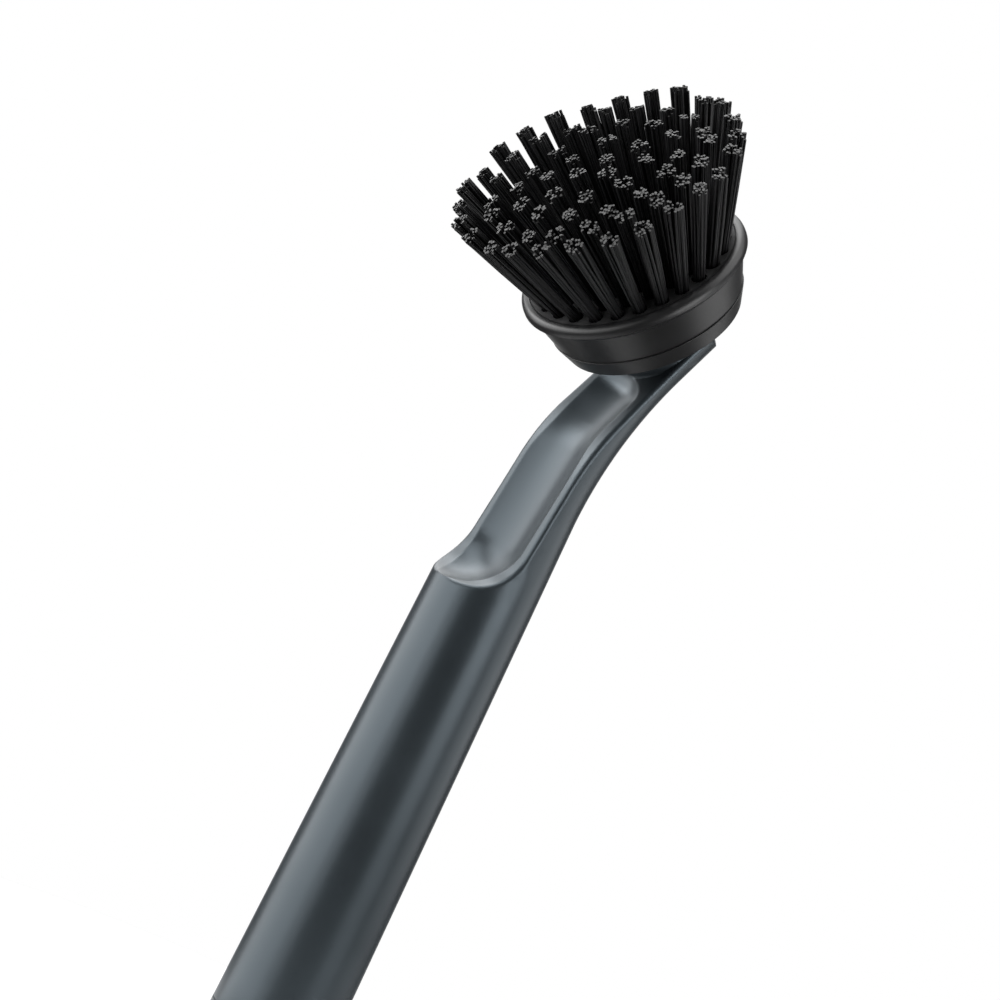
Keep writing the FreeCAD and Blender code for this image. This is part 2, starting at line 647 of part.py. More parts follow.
# Tufts: each widens from its root in the plate to its cut tips, and leans out more towards the edge.
tufts = []
anchors = []
for ring in RINGS:
    tuft_ring = new_body(f"tufts_ring_{ring}")
    tuft_outline = new_sketch(tuft_ring, f"tuft_{ring}_outline", "XZ_Plane")
    outline(tuft_outline, [
        slanted(ring, "0", "0 - hole_depth"),
        slanted(ring, "tuft_root_diameter / 2", "0 - hole_depth"),
        slanted(ring, "tuft_tip_diameter / 2", tuft_length(ring)),
        slanted(ring, "0", tuft_length(ring)),
    ])
    slanted_axis(tuft_outline, ring)
    tuft = turned(tuft_ring, f"tuft_{ring}", tuft_outline, axis="Axis0")
    pattern(tuft_ring, f"tuft_ring_{ring}", tuft, tuft_outline, f"ring_{ring}_count")
    in_head_frame(tuft_ring)
    tufts.append(tuft_ring)

    # Staple under the root of each tuft, standing on the floor of the hole.
    anchor_ring = new_body(f"anchors_ring_{ring}")
    anchor_outline = new_sketch(anchor_ring, f"anchor_{ring}_outline", "XZ_Plane")
    outline(anchor_outline, [
        slanted(ring, "0 - anchor_thickness / 2", "0 - hole_depth - anchor_height"),
        slanted(ring, "anchor_thickness / 2", "0 - hole_depth - anchor_height"),
        slanted(ring, "anchor_thickness / 2", "0 - hole_depth"),
        slanted(ring, "0 - anchor_thickness / 2", "0 - hole_depth"),
    ])
    anchor = anchor_ring.newObject("PartDesign::Pad", f"anchor_{ring}")
    anchor.Profile = anchor_outline
    anchor.SideType = "Symmetric"
    anchor.setExpression("Length", expand("anchor_length"))
    pattern(anchor_ring, f"anchor_ring_{ring}", anchor, anchor_outline, f"ring_{ring}_count")
    in_head_frame(anchor_ring)
    anchors.append(anchor_ring)

doc.recompute()
pieces = [handle, end_cap, head_base, head_bowl, tuft_plate] + tufts + anchors
for item in doc.Objects:
    if "Invalid" in item.State or "Error" in item.State:
        raise RuntimeError(f"{item.Label} failed: {item.State}")
for piece in pieces:
    if piece.Shape.isNull() or not piece.Shape.isValid():
        raise RuntimeError(f"{piece.Label} has no valid shape")
    print(piece.Label, len(piece.Shape.Solids), "solids", round(piece.Shape.Volume, 1), "mm3")
os.makedirs("parts", exist_ok=True)
for piece in pieces:
    piece.Shape.exportStep(f"parts/{piece.Label}.step")
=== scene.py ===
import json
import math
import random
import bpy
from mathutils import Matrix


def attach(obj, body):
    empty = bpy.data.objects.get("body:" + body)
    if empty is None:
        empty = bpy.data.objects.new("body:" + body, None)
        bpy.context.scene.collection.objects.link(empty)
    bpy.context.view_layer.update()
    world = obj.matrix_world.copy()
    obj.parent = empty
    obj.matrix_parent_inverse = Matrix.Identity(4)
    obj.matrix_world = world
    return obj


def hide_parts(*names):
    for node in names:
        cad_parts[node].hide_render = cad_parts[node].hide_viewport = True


bl_info = {
    "name": "Dish Brush",
    "version": (1, 0, 0),
    "blender": (4, 5, 0),
    "location": "View3D > Sidebar > Dish Brush",
    "description": "Finishes a dish brush, fills its head with bristles and sets up the studio",
    "category": "Object",
}

from typing import NamedTuple

import bpy
from bpy.props import FloatProperty, FloatVectorProperty, IntProperty, PointerProperty
from mathutils import Matrix, Vector

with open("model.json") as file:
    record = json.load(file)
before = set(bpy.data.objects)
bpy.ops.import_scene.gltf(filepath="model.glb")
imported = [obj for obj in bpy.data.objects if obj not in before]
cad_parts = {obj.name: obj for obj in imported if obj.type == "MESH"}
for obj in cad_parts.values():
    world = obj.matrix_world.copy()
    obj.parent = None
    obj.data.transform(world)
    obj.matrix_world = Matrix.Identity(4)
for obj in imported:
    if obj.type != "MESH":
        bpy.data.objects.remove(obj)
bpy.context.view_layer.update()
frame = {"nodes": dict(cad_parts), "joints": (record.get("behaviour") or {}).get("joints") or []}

HEAD_JOINT = "head_pull_off"
TUFT_NODES = ("tufts_ring_1", "tufts_ring_2", "tufts_ring_3", "tufts_ring_4", "tufts_ring_5")
STAPLE_NODES = ("anchors_ring_1", "anchors_ring_2", "anchors_ring_3", "anchors_ring_4", "anchors_ring_5")

# Camera: the picture is square, in pixels, and the sensor's width is in millimetres
IMAGE_WIDTH = 1000.0
PICTURE_MIDDLE = 0.5
SENSOR_WIDTH = 36.0

# Noise of a surface: its fine grain, and the clouds that change its colour and its gloss
GRAIN_DETAIL = 4.0
GRAIN_ROUGHNESS = 0.6
CLOUD_DETAIL = 6.0
CLOUD_ROUGHNESS = 0.55
CLOUD_RANGE = (0.3, 0.7)
EDGE_SAMPLES = 6

# Finishes: shades are the darkest and the lightest share of a colour
PLASTIC_CLOUD_SCALE = 60.0
PLASTIC_SHADES = (0.93, 1.07)
PLASTIC_ROUGHNESS_SWING = 0.025
GRIP_SPECULAR = 0.7
HEAD_SPECULAR = 0.45
PLATE_SPECULAR = 0.4
PLATE_ROUGHNESS = 0.55
STRAND_SPECULAR = 0.3
STRAND_SHADES = (0.5, 2.2)
STRAND_ROUGHNESSES = (0.34, 0.5)
CUT_SHADES = (0.35, 1.5)
CUT_ROUGHNESS = 0.6
STAPLE_CLOUD_SCALE = 900.0
STAPLE_SHADES = (0.85, 1.1)
STAPLE_ROUGHNESSES = (0.3, 0.42)

# Mesh of the strands: its attribute, its material slots and the angle from which an edge is sharp
SHADE_ATTRIBUTE = "strand_shade"
SIDE_SLOT = 0
CUT_SLOT = 1
SHARP_ANGLE = math.radians(70.0)

# Measuring a tuft: digits that join equal points, and the share of its length that counts as an end
POINT_DIGITS = 6
END_SHARE = 0.01

# Places of the strands in a tuft: tries for each, and the spacing in strand diameters
PLACE_TRIES = 14
STRAND_SPACING = 1.1
# Bunches that a tuft may part into, and how far out their middles lie
BUNCH_COUNTS = (1, 2, 2, 3)
BUNCH_REACH = 0.55
# Where a strand has points along its length, and a power that makes short ones rare
STRAND_SHARES = (0.0, 0.35, 0.6, 0.85, 1.0)
SHORTNESS_POWER = 2
# A strand's shade is partly its tuft's and partly its own
TUFT_SHADE_SHARE = 0.35
OWN_SHADE_SHARE = 0.65

# Studio: the backdrop fades in between two cosines of the angle from the line of sight
WHITE = (1.0, 1.0, 1.0, 1.0)
FLOOR_STEPS = 128
FLOOR_ROUGHNESS = 0.9
BACKDROP_FADE = (0.93, 0.98)


class BrushFinish(bpy.types.PropertyGroup):
    """Colours and surfaces of the mouldings, the bristles and the staples."""

    grip_colour: FloatVectorProperty(
        name="Grip", description="Blue-grey satin plastic of the grip and the neck",
        subtype="COLOR", size=4, min=0.0, max=1.0, default=(0.022, 0.027, 0.031, 1.0),
    )
    grip_roughness: FloatProperty(
        name="Grip roughness", description="How far the satin of the grip blurs reflections",
        subtype="FACTOR", min=0.0, max=1.0, default=0.33,
    )
    grip_sheen: FloatVectorProperty(
        name="Grip sheen", description="Blue tint of the reflections on the grip",
        subtype="COLOR", size=4, min=0.0, max=1.0, default=(0.76, 0.90, 1.0, 1.0),
    )
    edge_softness: FloatProperty(
        name="Edge softness", description="Radius of the moulded edges of the grip",
        unit="LENGTH", min=0.0, default=0.0009,
    )
    head_edge_softness: FloatProperty(
        name="Head edge softness", description="Radius of the moulded edges of the head",
        unit="LENGTH", min=0.0, default=0.0004,
    )
    head_colour: FloatVectorProperty(
        name="Head", description="Matte dark grey plastic of the bowl and its base",
        subtype="COLOR", size=4, min=0.0, max=1.0, default=(0.011, 0.011, 0.0115, 1.0),
    )
    head_roughness: FloatProperty(
        name="Head roughness", description="How far the matte head blurs reflections",
        subtype="FACTOR", min=0.0, max=1.0, default=0.38,
    )
    plate_colour: FloatVectorProperty(
        name="Plate", description="Black plastic that holds the tufts",
        subtype="COLOR", size=4, min=0.0, max=1.0, default=(0.024, 0.024, 0.0245, 1.0),
    )
    strand_colour: FloatVectorProperty(
        name="Strand", description="Black nylon of the bristles",
        subtype="COLOR", size=4, min=0.0, max=1.0, default=(0.006, 0.006, 0.0065, 1.0),
    )
    cut_colour: FloatVectorProperty(
        name="Cut end", description="Rough light end where a bristle was cut",
        subtype="COLOR", size=4, min=0.0, max=1.0, default=(0.065, 0.065, 0.065, 1.0),
    )
    staple_colour: FloatVectorProperty(
        name="Staple", description="Flat wire that holds a tuft in its hole",
        subtype="COLOR", size=4, min=0.0, max=1.0, default=(0.55, 0.55, 0.56, 1.0),
    )


class BrushTufts(bpy.types.PropertyGroup):
    """How the bristles of a tuft lie and spread."""

    strand_diameter: FloatProperty(
        name="Strand diameter", description="Thickness of one bristle",
        unit="LENGTH", default=0.00068,
    )
    strands: IntProperty(
        name="Strands", description="Bristles in one tuft",
        min=3, default=28,
    )
    gather: FloatProperty(
        name="Gather", description="How far the strands draw together into bunches at the tips",
        subtype="FACTOR", min=0.0, max=1.0, default=0.35,
    )
    uneven_tufts: FloatProperty(
        name="Uneven tufts", description="How much shorter than the longest a tuft may be",
        unit="LENGTH", default=0.0022,
    )
    uneven_strands: FloatProperty(
        name="Uneven strands", description="How much shorter than its tuft a strand may be",
        unit="LENGTH", default=0.0016,
    )
    bow: FloatProperty(
        name="Bow", description="How far a strand bends aside over its length",
        unit="LENGTH", default=0.0003,
    )
    seed: IntProperty(
        name="Seed", description="Start of the random numbers that spread the strands",
        default=7,
    )


class BrushStage(bpy.types.PropertyGroup):
    """Camera, lamps and floor."""

    azimuth: FloatProperty(
        name="Azimuth", description="Turn of the camera round the brush",
        subtype="ANGLE", default=math.radians(54.15),
    )
    elevation: FloatProperty(
        name="Elevation", description="Height of the camera above the horizon",
        subtype="ANGLE", default=math.radians(6.16),
    )
    roll: FloatProperty(
        name="Roll", description="Turn of the camera about its own line of sight",
        subtype="ANGLE", default=math.radians(26.11),
    )
    distance: FloatProperty(
        name="Distance", description="From the camera to the point that it looks at",
        unit="LENGTH", default=1.1,
    )
    look_height: FloatProperty(
        name="Look height", description="Height of the point that the camera looks at",
        unit="LENGTH", default=0.1388,
    )
    pixels_per_metre: FloatProperty(
        name="Picture scale", description="Pixels for each metre at the point that the camera looks at",
        default=4131.0,
    )
    centre_across: FloatProperty(
        name="Centre across", description="Pixel column of the point that the camera looks at",
        default=480.5,
    )
    centre_down: FloatProperty(
        name="Centre down", description="Pixel row of the point that the camera looks at",
        default=595.1,
    )
    floor_colour: FloatVectorProperty(
        name="Floor", description="Plain pale floor",
        subtype="COLOR", size=4, min=0.0, max=1.0, default=(0.62, 0.62, 0.62, 1.0),
    )
    floor_radius: FloatProperty(
        name="Floor radius", description="Size of the round floor",
        unit="LENGTH", default=0.14,
    )
    floor_glow: FloatProperty(
        name="Floor glow", description="Light that the floor adds where it shows as background",
        default=0.1,
    )
    lamp_height: FloatProperty(
        name="Lamp height", description="Height of the point that the lamps face",
        unit="LENGTH", default=0.17,
    )
    fill: FloatProperty(
        name="Fill", description="Brightness of the room around the lamps",
        default=0.06,
    )


class BrushSettings(bpy.types.PropertyGroup):
    """All settings of the dish brush."""

    finish: PointerProperty(name="Finish", description="Colours and surfaces", type=BrushFinish)
    tufts: PointerProperty(name="Tufts", description="Bristles of the head", type=BrushTufts)
    stage: PointerProperty(name="Stage", description="Camera, lamps and floor", type=BrushStage)


class Softbox(NamedTuple):
    """A soft lamp: turn from the camera to the right and rise in degrees, sizes in metres, brightness."""

    name: str
    turn: float
    rise: float
    distance: float
    width: float
    height: float
    glow: float


SOFTBOXES = (
    Softbox("softbox_left", turn=-86.0, rise=-3.0, distance=0.9, width=1.3, height=0.6, glow=3.4),
    Softbox("softbox_front_left", turn=-41.0, rise=-3.0, distance=0.9, width=0.42, height=0.6, glow=1.9),
    Softbox("softbox_right", turn=55.0, rise=10.0, distance=0.9, width=0.55, height=0.6, glow=5.0),
    Softbox("softbox_right_back", turn=107.0, rise=4.0, distance=0.9, width=0.75, height=0.6, glow=1.4),
    Softbox("softbox_left_top", turn=-100.0, rise=61.0, distance=0.9, width=1.3, height=0.62, glow=3.8),
    Softbox("softbox_back", turn=-153.0, rise=32.0, distance=0.9, width=0.9, height=0.75, glow=2.1),
    Softbox("softbox_scoop", turn=-101.0, rise=19.0, distance=0.19, width=0.15, height=0.05, glow=4.2),
    Softbox("softbox_top", turn=90.0, rise=72.0, distance=0.9, width=0.9, height=0.9, glow=2.4),
)


def add_node(tree, kind, **values):
    """A node with its inputs set by name; underscores stand for spaces."""
    node = tree.nodes.new(kind)
    for name, value in values.items():
        node.inputs[name.replace("_", " ")].default_value = value
    return node


class Grain(NamedTuple):
    """Fine grain of a surface: the scale of its noise, the strength of its bump and its depth in metres."""

    scale: float
    strength: float
    depth: float


GRIP_GRAIN = Grain(scale=2600.0, strength=0.1, depth=0.00004)
HEAD_GRAIN = Grain(scale=3200.0, strength=0.25, depth=0.00004)
PLATE_GRAIN = Grain(scale=3200.0, strength=0.3, depth=0.00004)
CUT_GRAIN = Grain(scale=9000.0, strength=0.5, depth=0.00005)
STAPLE_GRAIN = Grain(scale=4000.0, strength=0.2, depth=0.00002)


def new_material(name):
    """A node material with its principled shader and its tree."""
    material = bpy.data.materials.new(name)
    material.use_nodes = True
    shader = material.node_tree.nodes["Principled BSDF"]
    return material, material.node_tree, shader


def shaded(colour, shares):
    """A darker and a lighter colour, by shares of a colour."""
    return [(colour[0] * share, colour[1] * share, colour[2] * share, 1.0) for share in shares]


def grain_bump(tree, shader, grain, softness=0.0):
    """Fine grain as a bump on the shader, over edges that a softness rounds off."""
    coordinates = tree.nodes.new("ShaderNodeTexCoord")
    noise = add_node(
        tree, "ShaderNodeTexNoise", Scale=grain.scale, Detail=GRAIN_DETAIL, Roughness=GRAIN_ROUGHNESS
    )
    bump = add_node(tree, "ShaderNodeBump", Strength=grain.strength, Distance=grain.depth)
    if softness > 0.0:
        edges = add_node(tree, "ShaderNodeBevel", Radius=softness)
        edges.samples = EDGE_SAMPLES
        tree.links.new(edges.outputs["Normal"], bump.inputs["Normal"])
    tree.links.new(coordinates.outputs["Object"], noise.inputs["Vector"])
    tree.links.new(noise.outputs["Fac"], bump.inputs["Height"])
    tree.links.new(bump.outputs["Normal"], shader.inputs["Normal"])
    return coordinates


def mottled(tree, shader, coordinates, scale, colours, roughnesses):
    """Cloudy change of colour and roughness over a surface."""
    clouds = add_node(
        tree, "ShaderNodeTexNoise", Scale=scale, Detail=CLOUD_DETAIL, Roughness=CLOUD_ROUGHNESS
    )
    ramp = tree.nodes.new("ShaderNodeValToRGB")
    for element, position, colour in zip(ramp.color_ramp.elements, CLOUD_RANGE, colours):
        element.position = position
        element.color = colour
    gloss = add_node(
        tree, "ShaderNodeMapRange",
        From_Min=CLOUD_RANGE[0], From_Max=CLOUD_RANGE[1], To_Min=roughnesses[0], To_Max=roughnesses[1],
    )
    tree.links.new(coordinates.outputs["Object"], clouds.inputs["Vector"])
    tree.links.new(clouds.outputs["Fac"], ramp.inputs["Fac"])
    tree.links.new(clouds.outputs["Fac"], gloss.inputs["Value"])
    tree.links.new(ramp.outputs["Color"], shader.inputs["Base Color"])
    tree.links.new(gloss.outputs["Result"], shader.inputs["Roughness"])


def moulded_plastic(name, colour, roughness, grain, specular, softness=0.0):
    """Plastic with moulded grain and slight clouds in colour and gloss."""
    material, tree, shader = new_material(name)
    shader.inputs["Specular IOR Level"].default_value = specular
    coordinates = grain_bump(tree, shader, grain, softness)
    roughnesses = (roughness - PLASTIC_ROUGHNESS_SWING, roughness + PLASTIC_ROUGHNESS_SWING)
    mottled(tree, shader, coordinates, PLASTIC_CLOUD_SCALE, shaded(colour, PLASTIC_SHADES), roughnesses)
    return material


def shade_strands(tree, shader, colours):
    """Colour each strand by its own shade, which the node returned reads from the mesh."""
    shade = tree.nodes.new("ShaderNodeAttribute")
    shade.attribute_name = SHADE_ATTRIBUTE
    ramp = tree.nodes.new("ShaderNodeValToRGB")
    for element, colour in zip(ramp.color_ramp.elements, colours):
        element.color = colour
    tree.links.new(shade.outputs["Fac"], ramp.inputs["Fac"])
    tree.links.new(ramp.outputs["Color"], shader.inputs["Base Color"])
    return shade


def strand_nylon(colour):
    """Black nylon: each strand has its own shade and gloss."""
    material, tree, shader = new_material("strand_nylon")
    shader.inputs["Specular IOR Level"].default_value = STRAND_SPECULAR
    shade = shade_strands(tree, shader, shaded(colour, STRAND_SHADES))
    gloss = add_node(tree, "ShaderNodeMapRange", To_Min=STRAND_ROUGHNESSES[0], To_Max=STRAND_ROUGHNESSES[1])
    tree.links.new(shade.outputs["Fac"], gloss.inputs["Value"])
    tree.links.new(gloss.outputs["Result"], shader.inputs["Roughness"])
    return material


def cut_nylon(colour):
    """Rough cut end of a strand, lighter in some strands than in others."""
    material, tree, shader = new_material("cut_nylon")
    shader.inputs["Roughness"].default_value = CUT_ROUGHNESS
    shade_strands(tree, shader, shaded(colour, CUT_SHADES))
    grain_bump(tree, shader, CUT_GRAIN)
    return material


def staple_steel(colour):
    """Drawn wire with fine grain and clouds."""
    material, tree, shader = new_material("staple_steel")
    shader.inputs["Metallic"].default_value = 1.0
    coordinates = grain_bump(tree, shader, STAPLE_GRAIN)
    colours = shaded(colour, STAPLE_SHADES)
    mottled(tree, shader, coordinates, STAPLE_CLOUD_SCALE, colours, STAPLE_ROUGHNESSES)
    return material


def dress(node, material):
    """Give a CAD node one material."""
    mesh = frame["nodes"][node].data
    mesh.materials.clear()
    mesh.materials.append(material)


class StrandMesh:
    """Collects the tubes of many strands into one mesh."""

    SIDES = 6

    def __init__(self):
        self.points = []
        self.faces = []
        self.slots = []
        self.shades = []

    def add(self, line, radius, shade):
        """A closed tube along a line of points; its last face is the cut end."""
        first = len(self.points)
        along = (line[-1] - line[0]).normalized()
        side = along.orthogonal().normalized()
        up = along.cross(side)
        for point in line:
            for step in range(self.SIDES):
                angle = math.tau * step / self.SIDES
                self.points.append(point + (side * math.cos(angle) + up * math.sin(angle)) * radius)
                self.shades.append(shade)
        for ring in range(len(line) - 1):
            low = first + ring * self.SIDES
            high = low + self.SIDES
            for step in range(self.SIDES):
                after = (step + 1) % self.SIDES
                self.faces.append((low + step, low + after, high + after, high + step))
                self.slots.append(SIDE_SLOT)
        top = first + (len(line) - 1) * self.SIDES
        self.faces.append(tuple(reversed(range(first, first + self.SIDES))))
        self.slots.append(SIDE_SLOT)
        self.faces.append(tuple(range(top, top + self.SIDES)))
        self.slots.append(CUT_SLOT)

    def build(self, name, materials):
        """The object with smooth sides and sharp cut ends."""
        mesh = bpy.data.meshes.new(name)
        mesh.from_pydata([point[:] for point in self.points], [], self.faces)
        for material in materials:
            mesh.materials.append(material)
        mesh.polygons.foreach_set("material_index", self.slots)
        mesh.polygons.foreach_set("use_smooth", [True] * len(self.faces))
        mesh.set_sharp_from_angle(angle=SHARP_ANGLE)
        shade = mesh.attributes.new(SHADE_ATTRIBUTE, "FLOAT", "POINT")
        shade.data.foreach_set("value", self.shades)
        mesh.validate()
        piece = bpy.data.objects.new(name, mesh)
        bpy.context.scene.collection.objects.link(piece)
        return piece


class Tuft(NamedTuple):
    """Where one tuft stands: the middle of its root and of its tip, and the radius of each."""

    root: Vector
    tip: Vector
    root_radius: float
    tip_radius: float


def separate_solids(mesh):
    """The points of each separate solid of a mesh."""
    spots = [tuple(round(number, POINT_DIGITS) for number in vertex.co) for vertex in mesh.vertices]
    leaders = {spot: spot for spot in spots}

    def leader(spot):
        while leaders[spot] != spot:
            leaders[spot] = leaders[leaders[spot]]
            spot = leaders[spot]
        return spot

    for polygon in mesh.polygons:
        first = leader(spots[polygon.vertices[0]])
        for index in polygon.vertices:
            leaders[leader(spots[index])] = first
    solids = {}
    for spot in leaders:
        solids.setdefault(leader(spot), []).append(Vector(spot))
    return list(solids.values())


def middle(points):
    """The mean of some points."""
    return sum(points, Vector()) / len(points)


def measured_tuft(points, head_axis):
    """The ends of a tuft's solid, which is a slanted cone with flat ends."""
    levels = [point.dot(head_axis) for point in points]
    half = (min(levels) + max(levels)) / 2.0
    low = middle([point for point, level in zip(points, levels) if level < half])
    high = middle([point for point, level in zip(points, levels) if level >= half])
    axis = (high - low).normalized()
    alongs = [point.dot(axis) for point in points]
    slack = (max(alongs) - min(alongs)) * END_SHARE
    root_points = [point for point, along in zip(points, alongs) if along < min(alongs) + slack]
    tip_points = [point for point, along in zip(points, alongs) if along > max(alongs) - slack]
    root = middle(root_points)
    tip = middle(tip_points)
    root_radius = max((point - root).length for point in root_points)
    tip_radius = max((point - tip).length for point in tip_points)
    return Tuft(root, tip, root_radius, tip_radius)


def in_disc(dice, radius):
    """A random place in a disc."""
    reach = radius * math.sqrt(dice.random())
    angle = math.tau * dice.random()
    return Vector((reach * math.cos(angle), reach * math.sin(angle)))


def spread_places(dice, count, radius, apart):
    """Random places in a disc that keep apart from each other where there is room."""
    places = []
    for _ in range(count):
        tries = [in_disc(dice, radius) for _ in range(PLACE_TRIES)]
        gaps = [min([(spot - other).length for other in places] or [apart]) for spot in tries]
        fits = [spot for spot, gap in zip(tries, gaps) if gap >= apart]
        places.append(fits[0] if fits else tries[gaps.index(max(gaps))])
    return places


def bunch_centres(dice, reach):
    """Middles of the one, two or three bunches that a tuft parts into."""
    count = dice.choice(BUNCH_COUNTS)
    if count == 1:
        return [Vector((0.0, 0.0))]
    start = dice.random()
    turns = [math.tau * (start + index / count) for index in range(count)]
    return [Vector((math.cos(turn), math.sin(turn))) * reach * BUNCH_REACH for turn in turns]


def lay_tuft(strands, dice, sizes, tuft):
    """One tuft: strands from its root to its tip, drawn together into bunches."""
    axis = (tuft.tip - tuft.root).normalized()
    side = axis.orthogonal().normalized()
    up = axis.cross(side)
    strand_radius = sizes.strand_diameter / 2.0
    root_reach = tuft.root_radius - strand_radius
    tip_reach = tuft.tip_radius - strand_radius
    bunches = bunch_centres(dice, tip_reach)
    tuft_length = (tuft.tip - tuft.root).length - sizes.uneven_tufts * dice.random() ** SHORTNESS_POWER
    tuft_shade = dice.random()
    for place in spread_places(dice, sizes.strands, tip_reach, sizes.strand_diameter * STRAND_SPACING):
        bunch = min(bunches, key=lambda spot: (spot - place).length)
        start = place * (root_reach / tip_reach)
        end = place.lerp(bunch, sizes.gather)
        bend = in_disc(dice, sizes.bow)
        length = tuft_length - sizes.uneven_strands * dice.random() ** SHORTNESS_POWER
        line = []
        for share in STRAND_SHARES:
            offset = start.lerp(end, share) + bend * math.sin(math.pi * share)
            line.append(tuft.root + axis * length * share + side * offset.x + up * offset.y)
        shade = TUFT_SHADE_SHARE * tuft_shade + OWN_SHADE_SHARE * dice.random()
        strands.add(line, strand_radius, shade)


class DISHBRUSH_OT_finish_grip(bpy.types.Operator):
    """Give the handle and its end cap their satin plastic"""

    bl_idname = "dish_brush.finish_grip"
    bl_label = "Finish Grip"

    def execute(self, context):
        finish = context.scene.dish_brush.finish
        plastic = moulded_plastic(
            "grip_plastic", finish.grip_colour, finish.grip_roughness,
            GRIP_GRAIN, GRIP_SPECULAR, finish.edge_softness,
        )
        shader = plastic.node_tree.nodes["Principled BSDF"]
        shader.inputs["Specular Tint"].default_value = finish.grip_sheen
        dress("handle", plastic)
        dress("end_cap", plastic)
        return {"FINISHED"}


class DISHBRUSH_OT_finish_head(bpy.types.Operator):
    """Give the bowl, its base and the tuft plate their matte plastics"""

    bl_idname = "dish_brush.finish_head"
    bl_label = "Finish Head"

    def execute(self, context):
        finish = context.scene.dish_brush.finish
        plastic = moulded_plastic(
            "head_plastic", finish.head_colour, finish.head_roughness,
            HEAD_GRAIN, HEAD_SPECULAR, finish.head_edge_softness,
        )
        plate_plastic = moulded_plastic(
            "plate_plastic", finish.plate_colour, PLATE_ROUGHNESS, PLATE_GRAIN, PLATE_SPECULAR
        )
        dress("head_base", plastic)
        dress("head_bowl", plastic)
        dress("tuft_plate", plate_plastic)
        return {"FINISHED"}


class DISHBRUSH_OT_finish_staples(bpy.types.Operator):
    """Give the staples under the tufts their steel"""

    bl_idname = "dish_brush.finish_staples"
    bl_label = "Finish Staples"

    def execute(self, context):
        steel = staple_steel(context.scene.dish_brush.finish.staple_colour)
        for node in STAPLE_NODES:
            dress(node, steel)
        return {"FINISHED"}


class DISHBRUSH_OT_lay_tufts(bpy.types.Operator):
    """Fill each ring of the head with tufts of single bristles"""

    bl_idname = "dish_brush.lay_tufts"
    bl_label = "Lay Tufts"

    def execute(self, context):
        settings = context.scene.dish_brush
        sizes = settings.tufts
        materials = (strand_nylon(settings.finish.strand_colour), cut_nylon(settings.finish.cut_colour))
        head_axis = Vector(next(joint["axis"] for joint in frame["joints"] if joint["name"] == HEAD_JOINT))
        dice = random.Random(sizes.seed)
        for node in TUFT_NODES:
            strands = StrandMesh()
            for points in separate_solids(frame["nodes"][node].data):
                lay_tuft(strands, dice, sizes, measured_tuft(points, head_axis))
            piece = strands.build(node.replace("tufts", "strands"), materials)
            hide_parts(node)
            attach(piece, "head")
        return {"FINISHED"}


def direction(turn, rise):
    """The direction at a turn from the front towards +X and at a rise above the horizon."""
    return Vector((math.sin(turn) * math.cos(rise), -math.cos(turn) * math.cos(rise), math.sin(rise)))


def camera_axes(stage):
    """Right, up and backward directions of the camera."""
    back = direction(stage.azimuth, stage.elevation)
    level_right = Vector((0.0, 0.0, 1.0)).cross(back).normalized()
    level_up = back.cross(level_right)
    right = level_right * math.cos(stage.roll) + level_up * math.sin(stage.roll)
    up = level_up * math.cos(stage.roll) - level_right * math.sin(stage.roll)
    return right, up, back


def add_camera(stage):
    """The photographer's camera."""
    right, up, back = camera_axes(stage)
    look = Vector((0.0, 0.0, stage.look_height))
    data = bpy.data.cameras.new("camera")
    data.sensor_width = SENSOR_WIDTH
    data.lens = SENSOR_WIDTH * stage.pixels_per_metre * stage.distance / IMAGE_WIDTH
    data.shift_x = PICTURE_MIDDLE - stage.centre_across / IMAGE_WIDTH
    data.shift_y = stage.centre_down / IMAGE_WIDTH - PICTURE_MIDDLE
    camera = bpy.data.objects.new("camera", data)
    turned = Matrix((right, up, back)).transposed().to_4x4()
    camera.matrix_world = Matrix.Translation(look + back * stage.distance) @ turned
    bpy.context.scene.collection.objects.link(camera)
    bpy.context.scene.camera = camera


def add_softbox(stage, softbox):
    """A soft lamp that faces the brush."""
    towards = direction(stage.azimuth + math.radians(softbox.turn), math.radians(softbox.rise))
    data = bpy.data.lights.new(softbox.name, "AREA")
    data.shape = "RECTANGLE"
    data.size = softbox.width
    data.size_y = softbox.height
    data.energy = softbox.glow * math.pi * softbox.width * softbox.height
    lamp = bpy.data.objects.new(softbox.name, data)
    lamp.location = Vector((0.0, 0.0, stage.lamp_height)) + towards * softbox.distance
    lamp.rotation_euler = towards.to_track_quat("Z", "Y").to_euler()
    lamp.visible_camera = False
    bpy.context.scene.collection.objects.link(lamp)


def combined(tree, operation, first, second):
    """The output of a maths node on two other outputs."""
    node = tree.nodes.new("ShaderNodeMath")
    node.operation = operation
    tree.links.new(first, node.inputs[0])
    tree.links.new(second, node.inputs[1])
    return node.outputs["Value"]


def ray_kinds(tree):
    """One for rays straight from the camera, and one for rays that are mirrored or go through glass."""
    path = tree.nodes.new("ShaderNodeLightPath")
    turned = combined(tree, "MAXIMUM", path.outputs["Is Glossy Ray"], path.outputs["Is Transmission Ray"])
    return path.outputs["Is Camera Ray"], turned


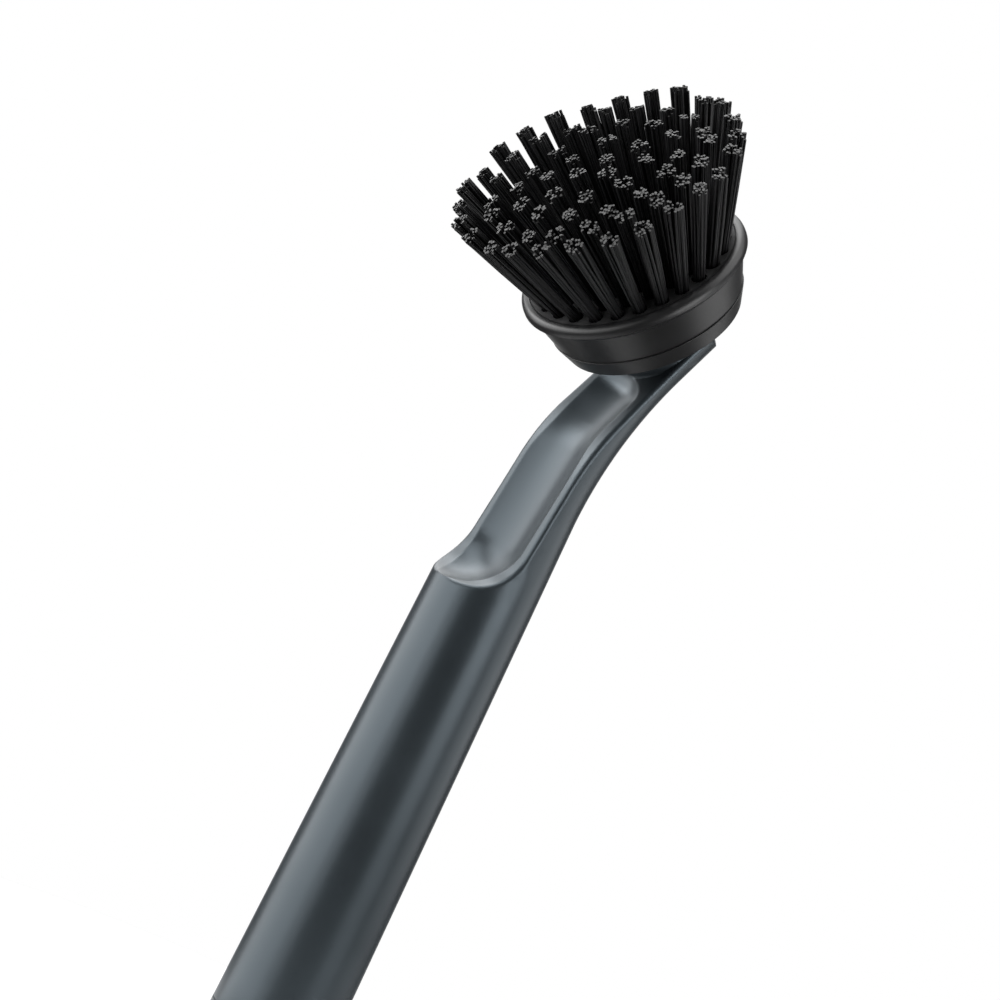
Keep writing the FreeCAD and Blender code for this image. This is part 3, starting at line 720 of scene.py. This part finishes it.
def add_floor(stage):
    """A round pale floor that keeps the shadow and is nearly white to the camera."""
    material, tree, shader = new_material("studio_floor")
    shader.inputs["Base Color"].default_value = stage.floor_colour
    shader.inputs["Roughness"].default_value = FLOOR_ROUGHNESS
    shader.inputs["Emission Color"].default_value = WHITE
    glow = add_node(tree, "ShaderNodeMapRange", To_Max=stage.floor_glow)
    straight, turned = ray_kinds(tree)
    tree.links.new(combined(tree, "MAXIMUM", straight, turned), glow.inputs["Value"])
    tree.links.new(glow.outputs["Result"], shader.inputs["Emission Strength"])
    radius = stage.floor_radius
    turns = [math.tau * step / FLOOR_STEPS for step in range(FLOOR_STEPS)]
    points = [(radius * math.cos(turn), radius * math.sin(turn), 0.0) for turn in turns]
    mesh = bpy.data.meshes.new("studio_floor")
    mesh.from_pydata(points, [], [tuple(range(FLOOR_STEPS))])
    mesh.materials.append(material)
    floor = bpy.data.objects.new("studio_floor", mesh)
    bpy.context.scene.collection.objects.link(floor)


def set_world(stage):
    """A dim room, with a white backdrop behind the brush that also shows in reflections."""
    world = bpy.data.worlds.new("studio")
    world.use_nodes = True
    bpy.context.scene.world = world
    tree = world.node_tree
    room = tree.nodes["Background"]
    room.inputs["Color"].default_value = WHITE
    room.inputs["Strength"].default_value = stage.fill
    white = add_node(tree, "ShaderNodeBackground", Color=WHITE, Strength=1.0)
    coordinates = tree.nodes.new("ShaderNodeTexCoord")
    behind = tree.nodes.new("ShaderNodeVectorMath")
    behind.operation = "DOT_PRODUCT"
    behind.inputs[1].default_value = -camera_axes(stage)[2]
    backdrop = add_node(tree, "ShaderNodeMapRange", From_Min=BACKDROP_FADE[0], From_Max=BACKDROP_FADE[1])
    straight, turned = ray_kinds(tree)
    turned_to_backdrop = combined(tree, "MULTIPLY", turned, backdrop.outputs["Result"])
    seen = combined(tree, "MAXIMUM", straight, turned_to_backdrop)
    mix = tree.nodes.new("ShaderNodeMixShader")
    tree.links.new(coordinates.outputs["Generated"], behind.inputs[0])
    tree.links.new(behind.outputs["Value"], backdrop.inputs["Value"])
    tree.links.new(seen, mix.inputs["Fac"])
    tree.links.new(room.outputs["Background"], mix.inputs[1])
    tree.links.new(white.outputs["Background"], mix.inputs[2])
    tree.links.new(mix.outputs["Shader"], tree.nodes["World Output"].inputs["Surface"])


class DISHBRUSH_OT_set_stage(bpy.types.Operator):
    """Set up the camera, the softboxes, the floor and the white background"""

    bl_idname = "dish_brush.set_stage"
    bl_label = "Set Stage"

    def execute(self, context):
        stage = context.scene.dish_brush.stage
        add_camera(stage)
        for softbox in SOFTBOXES:
            add_softbox(stage, softbox)
        add_floor(stage)
        set_world(stage)
        context.scene.view_settings.view_transform = "Standard"
        return {"FINISHED"}


class DISHBRUSH_PT_steps(bpy.types.Panel):
    """Steps and settings of the dish brush"""

    bl_idname = "DISHBRUSH_PT_steps"
    bl_label = "Dish Brush"
    bl_space_type = "VIEW_3D"
    bl_region_type = "UI"
    bl_category = "Dish Brush"

    def draw(self, context):
        settings = context.scene.dish_brush
        for step in STEPS:
            self.layout.operator(step.bl_idname)
        for group in (settings.finish, settings.tufts, settings.stage):
            box = self.layout.box()
            for name in group.bl_rna.properties.keys():
                if name not in {"rna_type", "name"}:
                    box.prop(group, name)


STEPS = (
    DISHBRUSH_OT_finish_grip,
    DISHBRUSH_OT_finish_head,
    DISHBRUSH_OT_finish_staples,
    DISHBRUSH_OT_lay_tufts,
    DISHBRUSH_OT_set_stage,
)
CLASSES = (BrushFinish, BrushTufts, BrushStage, BrushSettings, *STEPS, DISHBRUSH_PT_steps)


def register():
    for item in CLASSES:
        bpy.utils.register_class(item)
    bpy.types.Scene.dish_brush = PointerProperty(
        name="Dish brush", description="Settings of the dish brush", type=BrushSettings
    )


def unregister():
    del bpy.types.Scene.dish_brush
    for item in reversed(CLASSES):
        bpy.utils.unregister_class(item)


def main():
    register()
    bpy.ops.dish_brush.finish_grip()
    bpy.ops.dish_brush.finish_head()
    bpy.ops.dish_brush.finish_staples()
    bpy.ops.dish_brush.lay_tufts()
    bpy.ops.dish_brush.set_stage()
    bpy.context.view_layer.update()


if __name__ == "__main__":
    main()
